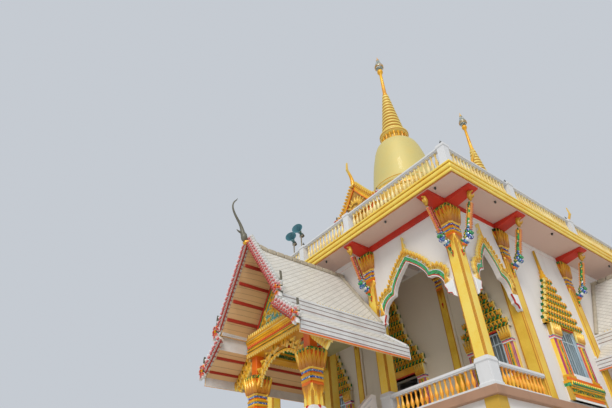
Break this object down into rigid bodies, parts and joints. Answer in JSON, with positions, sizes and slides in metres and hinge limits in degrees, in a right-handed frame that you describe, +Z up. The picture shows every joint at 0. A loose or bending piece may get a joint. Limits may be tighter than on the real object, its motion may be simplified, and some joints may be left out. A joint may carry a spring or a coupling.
{
  "type": "Buddhist temple",
  "caption": "Raised Thai-style Buddhist temple hall with arched verandas, gabled porches over long stairs, a railed roof terrace and ringed bell-shaped chedis.",
  "frame": {"origin": "ground level in the middle of the building's plan", "axes": "+Z up, front veranda and stair towards -Y, +X to the right seen from the front"},
  "size_m": [24.09, 27.037, 29.355],
  "materials": {
    "white_plaster": "white painted plaster, faintly stained",
    "gold_paint": "gold paint on concrete and stucco, with mosaic and orange lines",
    "pale_gold_paint": "pale gold paint, satin",
    "red_paint": "deep red paint on concrete beams",
    "floor_edge": "tan painted concrete edge",
    "floor_cement": "smooth cement",
    "roof_tiles": "cream and white-grey tiles",
    "gable_paint": "white-grey boards with red, pink and green scales",
    "window_glass": "tinted window glass"
  },
  "bodies": {
    "root": {"lower_wall_front": "white_plaster", "lower_wall_rear": "white_plaster", "lower_wall_left": "white_plaster", "lower_wall_right": "white_plaster", "hall_wall_front": "white_plaster", "hall_wall_rear": "white_plaster", "hall_wall_left": "white_plaster", "hall_wall_right": "white_plaster", "arch_screen_front_left": "white_plaster", "arch_screen_front_right": "white_plaster", "arch_screen_side_left": "white_plaster", "arch_screen_side_right": "white_plaster", "centre_screen": "white_plaster", "veranda_rail_front_left": "white_plaster", "veranda_rail_front_right": "white_plaster", "veranda_rail_side_left": "white_plaster", "veranda_rail_side_right": "white_plaster", "terrace_rail_front": "white_plaster", "terrace_rail_rear": "white_plaster", "terrace_rail_left": "white_plaster", "terrace_rail_right": "white_plaster", "front_porch_stair": "white_plaster", "left_porch_stair": "white_plaster", "right_porch_stair": "white_plaster", "roof_slab": "gold_paint", "corner_column_left": "gold_paint", "corner_column_right": "gold_paint", "veranda_column_left": "gold_paint", "veranda_column_right": "gold_paint", "chedi_front_base": "gold_paint", "chedi_front_spire": "gold_paint", "chedi_rear_base": "gold_paint", "chedi_rear_spire": "gold_paint", "front_porch_frame": "gold_paint", "left_porch_frame": "gold_paint", "right_porch_frame": "gold_paint", "chedi_front_bell": "pale_gold_paint", "chedi_rear_bell": "pale_gold_paint", "ceiling_beams": "red_paint", "upper_floor": "floor_edge", "ground_floor": "floor_cement", "front_porch_roof": "roof_tiles", "left_porch_roof": "roof_tiles", "right_porch_roof": "roof_tiles", "front_porch_boards": "gable_paint", "left_porch_boards": "gable_paint", "right_porch_boards": "gable_paint", "glass_front_left": "window_glass", "glass_front_right": "window_glass", "glass_rear_left": "window_glass", "glass_rear_right": "window_glass", "glass_left_front": "window_glass", "glass_left_rear": "window_glass", "glass_right_front": "window_glass", "glass_right_rear": "window_glass"}
  },
  "joints": []
}
